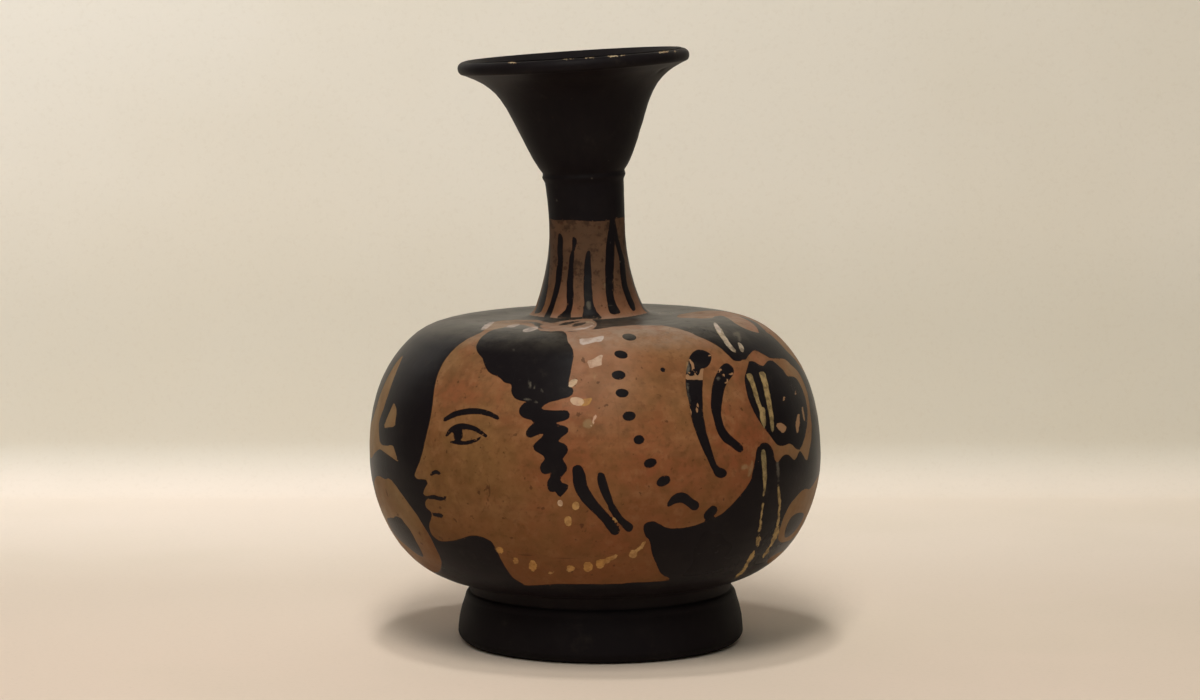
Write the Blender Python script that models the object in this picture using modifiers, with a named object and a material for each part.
"""Squat lekythos: a small one-handled oil vessel of fired clay, thrown in one piece.

Metres, +Z up, resting on z = 0. The front of the vessel faces -Y and its handle
is at the back, at +Y. X = Y = 0 is the axis of the belly at the resting plane.

The vessel is a single hollow wall of revolution: ring foot, low swelling body,
flat shoulder, narrow neck, small collar and a flaring mouth with a rolled lip.
It was made a little askew: the body sits off the middle of its foot and the
neck and mouth lean to -X, so every level section is shifted and tipped by the
lean table below. A strap handle runs from the neck down to the shoulder.
"""

import math

import bmesh
import bpy
from mathutils import Vector

for old in list(bpy.data.objects):
    bpy.data.objects.remove(old, do_unlink=True)

MM = 0.001

# ---------------------------------------------------------------- named sizes, mm
SEGMENTS = 48            # facets round the axis

# foot: a ring foot, recessed underneath
FOOT_RECESS_R = 20.6     # edge of the flat roof of the recess
FOOT_RECESS_Z = 7.4      # height of that roof
FOOT_RECESS_CROWN = 0.5  # the roof drops by this much at its middle
REST_IN_R = 23.4         # the flat ring that the vessel stands on
REST_OUT_R = 26.9
FOOT_R = 30.3            # widest part of the foot
FOOT_EDGE_Z = 2.4        # height of that widest part
FOOT_TOP_R = 28.85
FOOT_TOP_Z = 9.6
GROOVE_R = 27.7          # groove where the body sits on the foot
GROOVE_Z = 11.2

# body: two superelliptic quarters that meet at the belly
BELLY_R = 47.81
BELLY_Z = 39.12
BELLY_DROP = 26.84       # vertical half size below the belly
LOWER_POWER = 1.671
LOWER_ROOT = 5.02
BELLY_RISE = 34.09       # vertical half size above the belly
UPPER_POWER = 2.424
UPPER_ROOT = 3.383
SHOULDER_Z = 65.3        # where the upper quarter gives way to the shoulder
SHOULDER_IN_R = 15.6     # inner end of the shoulder, where the neck's fillet starts
SHOULDER_IN_Z = 69.25
SHOULDER_IN_RISE = 0.055 # slope of the shoulder there, rising to the neck

# neck
NECK_FOOT_Z = 72.45      # top of the shoulder curve
NECK_R = 8.04            # narrowest part
NECK_Z = 88.3
NECK_FLARE_LOW = 5.078   # growth of the radius 21 mm below the narrowest part
NECK_FLARE_HIGH = 1.682  # and 21 mm above it
NECK_UNIT = 21.0

# collar and mouth
COLLAR_Z = 97.44
COLLAR_RISE = 1.47
COLLAR_R = 8.90
BELL_FOOT_R = 8.71
BELL_FOOT_Z = 99.65
BELL_SWELL = 0.856       # quick swelling just over the collar
BELL_SWELL_RATE = 9.0
BELL_SPREAD = 8.328      # even spread over the height of the bell
BELL_FLARE = 5.555       # flare under the lip
BELL_FLARE_POWER = 8.43
LIP_UNDER_Z = 121.31
LIP_R = 24.42
LIP_TOP_Z = 124.23
LIP_TOP_R = 22.74        # crown of the lip
LIP_IN_R = 21.0          # inner edge of the lip
LIP_IN_Z = 123.0

# hollow
WALL = 3.5               # wall of the body, measured square to it
BORE_R = 4.7             # passage of the neck
FLOOR_Z = 14.2           # height of the floor inside
MOUTH_WALL = 2.9

# strap handle at the back (Y, Z of the four control points of its middle line)
HANDLE_LINE = ((6.4, 92.4), (22.4, 101.4), (27.6, 89.0), (28.6, 67.2))
HANDLE_WIDTH = 12.0
HANDLE_THICK = 5.1
HANDLE_ROUND = 2.5       # exponent of the rounded strap section
HANDLE_SPREAD = 0.16     # the strap widens by this share at both ends
HANDLE_SIDES = 14
HANDLE_STEPS = 16

# lean: (height, shift of the section towards -X, tip of the section in degrees,
# the -X side going down); the shift is counted from the axis of the belly
LEAN = (
    (0.0, -1.173, 0.0),
    (9.45, -1.173, 0.336),
    (17.85, -0.478, 0.731),
    (39.9, 0.0, 0.731),
    (63.0, 0.606, 1.05),
    (73.5, 1.395, 1.10),
    (89.25, 1.738, 2.08),
    (98.7, 2.322, 3.015),
    (105.0, 2.771, 3.291),
    (126.0, 4.845, 3.813),
)


# ---------------------------------------------------------------- curves
def monotone(table, column, at):
    """Smooth value of one column of a table at a height, without overshoot."""
    zs = [row[0] for row in table]
    vs = [row[column] for row in table]
    n = len(zs)
    step = [zs[i + 1] - zs[i] for i in range(n - 1)]
    rate = [(vs[i + 1] - vs[i]) / step[i] for i in range(n - 1)]
    slope = [rate[0]]
    for i in range(1, n - 1):
        a, b = rate[i - 1], rate[i]
        slope.append(0.0 if a * b <= 0 else 2 * a * b / (a + b))
    slope.append(rate[-1])
    k = 0
    while k < n - 2 and at > zs[k + 1]:
        k += 1
    t = min(max((at - zs[k]) / step[k], 0.0), 1.2)
    h = step[k]
    return (
        vs[k] * (2 * t**3 - 3 * t * t + 1)
        + h * slope[k] * (t**3 - 2 * t * t + t)
        + vs[k + 1] * (3 * t * t - 2 * t**3)
        + h * slope[k + 1] * (t**3 - t * t)
    )


def lean(x, y, z):
    """Carry a point of the upright vessel to its place on the leaning one."""
    shift = monotone(LEAN, 1, z)
    tip = math.radians(monotone(LEAN, 2, z))
    return x * math.cos(tip) - shift, y, z + x * math.sin(tip)


def quarter_turn(p, q, count, first_along_r):
    """Elliptic quarter from p to q, leaving p along R or along Z."""
    out = []
    for i in range(1, count + 1):
        a = 0.5 * math.pi * i / count
        if first_along_r:
            out.append((p[0] + (q[0] - p[0]) * math.sin(a), p[1] + (q[1] - p[1]) * (1 - math.cos(a))))
        else:
            out.append((p[0] + (q[0] - p[0]) * (1 - math.cos(a)), p[1] + (q[1] - p[1]) * math.sin(a)))
    return out


def bezier(p0, p1, p2, p3, t):
    s = 1 - t
    return tuple(
        s**3 * a + 3 * s * s * t * b + 3 * s * t * t * c + t**3 * d
        for a, b, c, d in zip(p0, p1, p2, p3)
    )


def body_radius(z):
    if z < BELLY_Z:
        d = (BELLY_Z - z) / BELLY_DROP
        return BELLY_R * max(1 - d**LOWER_POWER, 0.0) ** (1 / LOWER_ROOT)
    d = (z - BELLY_Z) / BELLY_RISE
    return BELLY_R * (1 - d**UPPER_POWER) ** (1 / UPPER_ROOT)


def body_start():
    """Height at which the lower quarter leaves the foot's groove."""
    low, high = BELLY_Z - BELLY_DROP, BELLY_Z
    for _ in range(60):
        mid = 0.5 * (low + high)
        if body_radius(mid) < GROOVE_R + 0.6:
            low = mid
        else:
            high = mid
    return high


def neck_radius(z):
    if z < NECK_Z:
        return NECK_R + NECK_FLARE_LOW * ((NECK_Z - z) / NECK_UNIT) ** 2
    return NECK_R + NECK_FLARE_HIGH * ((z - NECK_Z) / NECK_UNIT) ** 2


def bell_radius(z):
    t = (z - BELL_FOOT_Z) / (LIP_UNDER_Z - BELL_FOOT_Z)
    return (
        BELL_FOOT_R
        + BELL_SWELL * (1 - math.exp(-BELL_SWELL_RATE * t))
        + BELL_SPREAD * t
        + BELL_FLARE * t**BELL_FLARE_POWER
    )


def shoulder_curves():
    """Control points of the shoulder and of the fillet that leads it up into the neck."""
    z0 = SHOULDER_Z
    r0 = body_radius(z0)
    back = Vector((r0 - body_radius(z0 - 0.05), 0.05)).normalized()
    level = Vector((-1.0, SHOULDER_IN_RISE)).normalized()
    z3 = NECK_FOOT_Z
    r3 = neck_radius(z3)
    ahead = Vector((neck_radius(z3 + 0.05) - r3, 0.05)).normalized()
    far = 0.36 * (r0 - SHOULDER_IN_R)
    near = 0.50 * math.hypot(SHOULDER_IN_R - r3, z3 - SHOULDER_IN_Z)
    mid = (SHOULDER_IN_R, SHOULDER_IN_Z)
    shoulder = ((r0, z0), (r0 + back.x * far, z0 + back.y * far),
                (mid[0] - level.x * far, mid[1] - level.y * far), mid)
    fillet = (mid, (mid[0] + level.x * near, mid[1] + level.y * near),
              (r3 - ahead.x * near, z3 - ahead.y * near), (r3, z3))
    return shoulder, fillet


def body_curve(low, high, shoulder):
    """Outside of the body from its groove to the foot of the neck."""
    pts = []
    z0 = body_start()
    for i in range(low + 1):
        t = i / low
        pts.append((body_radius(z0 + (BELLY_Z - z0) * t**1.75), z0 + (BELLY_Z - z0) * t**1.75))
    for i in range(1, high + 1):
        z = BELLY_Z + (SHOULDER_Z - BELLY_Z) * (1 - (1 - i / high) ** 1.45)
        pts.append((body_radius(z), z))
    flat, fillet = shoulder_curves()
    half = shoulder // 2
    for i in range(1, half + 1):
        pts.append(bezier(*flat, i / half))
    for i in range(1, shoulder - half + 1):
        pts.append(bezier(*fillet, i / (shoulder - half)))
    return pts


def bell_curve(count):
    out = []
    for i in range(1, count + 1):
        t = 1 - (1 - i / count) ** 1.35
        z = BELL_FOOT_Z + (LIP_UNDER_Z - BELL_FOOT_Z) * t
        out.append((bell_radius(z), z))
    return out


def inset(points, distance):
    """Points moved square to their curve, towards the inside of the vessel."""
    out = []
    for i, (r, z) in enumerate(points):
        a = points[max(i - 1, 0)]
        b = points[min(i + 1, len(points) - 1)]
        along = Vector((b[0] - a[0], b[1] - a[1])).normalized()
        out.append((r - along.y * distance, z + along.x * distance))
    return out


def wall_profile(low=9, high=7, shoulder=8, neck=4, bell=7):
    """Whole wall, from the middle of the floor up the inside, over the lip and
    down the outside to the middle of the underside."""
    outer_body = body_curve(low, high, shoulder)

    # inside, from the floor up
    dense = body_curve(60, 60, 60)
    hollow = [p for p in inset(dense, WALL) if p[1] > FLOOR_Z + 2.2]
    hollow = [p for p in hollow if p[0] > BORE_R + 3.2]
    first, last = hollow[0], hollow[-1]
    picked = []
    total = 0.0
    lengths = [0.0]
    for a, b in zip(hollow, hollow[1:]):
        total += math.dist(a, b)
        lengths.append(total)
    count = low + high - 1
    for i in range(count + 1):
        want = total * i / count
        k = max(j for j, s in enumerate(lengths) if s <= want + 1e-9)
        picked.append(hollow[k])
    inside = [(0.0, FLOOR_Z), (0.55 * first[0], FLOOR_Z + 0.1)]
    inside += [bezier((first[0] - 9.0, FLOOR_Z + 0.35), (first[0] - 4.5, FLOOR_Z + 0.6),
                      (first[0] - 1.6, first[1] - 1.1), first, t) for t in (0.0, 0.4, 0.75)]
    inside += picked
    top = NECK_FOOT_Z + 3.0
    inside += [bezier(last, (last[0] - 1.9, last[1] + 0.35), (BORE_R, last[1] + 1.2), (BORE_R, top), t)
               for t in (0.4, 0.75, 1.0)]
    inside += [(BORE_R, NECK_Z), (BORE_R, COLLAR_Z)]
    bell_in = [(max(r, BORE_R + 0.1), z) for r, z in inset([(BELL_FOOT_R, BELL_FOOT_Z)] + bell_curve(40), MOUTH_WALL)]
    keep = [p for p in bell_in if COLLAR_Z + 3.0 < p[1] < LIP_IN_Z - 2.2 and p[0] < LIP_IN_R - 0.8]
    inside += [keep[int(round(i * (len(keep) - 1) / (bell - 2)))] for i in range(bell - 1)]

    # lip, rounded from the inner edge over the crown to the outside
    lip = [(LIP_IN_R, LIP_IN_Z)]
    lip += quarter_turn((LIP_IN_R, LIP_IN_Z), (LIP_TOP_R, LIP_TOP_Z), 2, False)
    middle_z = 0.5 * (LIP_UNDER_Z + LIP_TOP_Z)
    lip += quarter_turn((LIP_TOP_R, LIP_TOP_Z), (LIP_R, middle_z), 3, True)
    under = (bell_radius(LIP_UNDER_Z), LIP_UNDER_Z)
    lip += quarter_turn((LIP_R, middle_z), under, 2, False)

    # outside, from the lip down
    mouth = [(BELL_FOOT_R, BELL_FOOT_Z)] + bell_curve(bell)[:-1]
    outside = list(reversed(mouth))
    outside += [(COLLAR_R, COLLAR_Z + COLLAR_RISE), (0.5 * (COLLAR_R + neck_radius(COLLAR_Z)), COLLAR_Z + 0.5 * COLLAR_RISE)]
    for i in range(2):
        z = COLLAR_Z + (NECK_Z - COLLAR_Z) * i / 2
        outside.append((neck_radius(z), z))
    for i in range(neck):
        z = NECK_Z + (NECK_FOOT_Z - NECK_Z) * i / neck
        outside.append((neck_radius(z), z))
    outside += list(reversed(outer_body))
    outside += [(GROOVE_R, GROOVE_Z)]
    outside += list(reversed(quarter_turn((FOOT_TOP_R, FOOT_TOP_Z), (GROOVE_R, GROOVE_Z), 2, False)[:-1]))
    for t in (1.0, 0.66, 0.33):
        outside.append((FOOT_R + (FOOT_TOP_R - FOOT_R) * t * t, FOOT_EDGE_Z + (FOOT_TOP_Z - FOOT_EDGE_Z) * t))
    outside += list(reversed(quarter_turn((REST_OUT_R, 0.0), (FOOT_R, FOOT_EDGE_Z), 4, True)))
    outside += [(REST_OUT_R, 0.0), (REST_IN_R, 0.0)]
    outside += [(REST_IN_R - 0.9, 0.8), (FOOT_RECESS_R + 0.5, FOOT_RECESS_Z - 0.9), (FOOT_RECESS_R - 0.5, FOOT_RECESS_Z)]
    outside += [(0.5 * FOOT_RECESS_R, FOOT_RECESS_Z - 0.5 * FOOT_RECESS_CROWN), (0.0, FOOT_RECESS_Z - FOOT_RECESS_CROWN)]
    return inside + lip + outside


# ---------------------------------------------------------------- solids
def material(name, colour, roughness, metallic=0.0):
    mat = bpy.data.materials.new(name)
    mat.use_nodes = True
    shader = mat.node_tree.nodes["Principled BSDF"]
    shader.inputs["Base Color"].default_value = (*colour, 1.0)
    shader.inputs["Roughness"].default_value = roughness
    shader.inputs["Metallic"].default_value = metallic
    mat.diffuse_color = (*colour, 1.0)
    return mat


def turned(name, profile, collection):
    """Closed wall of revolution from a profile in R and Z, given in mm."""
    mesh = bpy.data.meshes.new(name)
    verts = [(r * MM, 0.0, z * MM) for r, z in profile]
    mesh.from_pydata(verts, [(i, i + 1) for i in range(len(verts) - 1)], [])
    obj = bpy.data.objects.new(name, mesh)
    collection.objects.link(obj)
    screw = obj.modifiers.new("turn", "SCREW")
    screw.axis = "Z"
    screw.angle = 2 * math.pi
    screw.steps = SEGMENTS
    screw.render_steps = SEGMENTS
    screw.use_merge_vertices = True
    screw.merge_threshold = 0.00001
    screw.use_normal_calculate = False
    return obj


def baked(obj):
    """The object with its modifiers worked into its mesh."""
    bpy.context.view_layer.update()
    graph = bpy.context.evaluated_depsgraph_get()
    mesh = bpy.data.meshes.new_from_object(obj.evaluated_get(graph), depsgraph=graph)
    obj.modifiers.clear()
    obj.data = mesh
    return obj


def leaned(obj):
    for vertex in obj.data.vertices:
        x, y, z = (c / MM for c in vertex.co)
        vertex.co = Vector(lean(x, y, z)) * MM
    obj.data.update()
    return obj


def facing_out(obj):
    work = bmesh.new()
    work.from_mesh(obj.data)
    bmesh.ops.remove_doubles(work, verts=work.verts, dist=0.000002)
    bmesh.ops.recalc_face_normals(work, faces=work.faces)
    if work.calc_volume(signed=True) < 0:
        bmesh.ops.reverse_faces(work, faces=work.faces)
    work.to_mesh(obj.data)
    work.free()
    obj.data.update()
    return obj


def strap(name, collection):
    """Strap handle swept along its middle line, closed at both ends."""
    rings = []
    for i in range(HANDLE_STEPS + 1):
        t = i / HANDLE_STEPS
        y, z = bezier(*HANDLE_LINE, t)
        y1, z1 = bezier(*HANDLE_LINE, min(t + 0.01, 1.0))
        y0, z0 = bezier(*HANDLE_LINE, max(t - 0.01, 0.0))
        along = Vector((0.0, y1 - y0, z1 - z0)).normalized()
        side = Vector((1.0, 0.0, 0.0))
        up = side.cross(along)
        spread = 1 + HANDLE_SPREAD * (abs(2 * t - 1)) ** 4
        ring = []
        for k in range(HANDLE_SIDES):
            a = 2 * math.pi * k / HANDLE_SIDES
            c, s = math.cos(a), math.sin(a)
            u = math.copysign(abs(c) ** (2 / HANDLE_ROUND), c) * 0.5 * HANDLE_WIDTH * spread
            v = math.copysign(abs(s) ** (2 / HANDLE_ROUND), s) * 0.5 * HANDLE_THICK
            p = Vector((0.0, y, z)) + side * u + up * v
            ring.append(Vector(lean(p.x, p.y, p.z)) * MM)
        rings.append(ring)
    verts = [p for ring in rings for p in ring]
    n = HANDLE_SIDES
    faces = []
    for i in range(HANDLE_STEPS):
        for k in range(n):
            a, b = i * n + k, i * n + (k + 1) % n
            faces.append((a, b, b + n, a + n))
    faces.append(tuple(range(n - 1, -1, -1)))
    faces.append(tuple(HANDLE_STEPS * n + k for k in range(n)))
    mesh = bpy.data.meshes.new(name)
    mesh.from_pydata([tuple(v) for v in verts], [], faces)
    obj = bpy.data.objects.new(name, mesh)
    collection.objects.link(obj)
    return facing_out(obj)


parts = bpy.data.collections.new("Squat lekythos")
tools = bpy.data.collections.new("Joined shapes")
bpy.context.scene.collection.children.link(parts)
bpy.context.scene.collection.children.link(tools)

vessel = facing_out(leaned(baked(turned("squat_lekythos", wall_profile(), parts))))
handle = strap("handle_shape", tools)
handle.hide_render = True
handle.display_type = "WIRE"

join = vessel.modifiers.new("handle", "BOOLEAN")
join.operation = "UNION"
join.solver = "EXACT"
join.object = handle
vessel.data.materials.clear()
vessel.data.materials.append(material("fired clay with black gloss", (0.030, 0.022, 0.019), 0.32))
vessel = facing_out(baked(vessel))
vessel.data.shade_smooth()
vessel.data.set_sharp_from_angle(angle=math.radians(38))
tools.hide_render = True
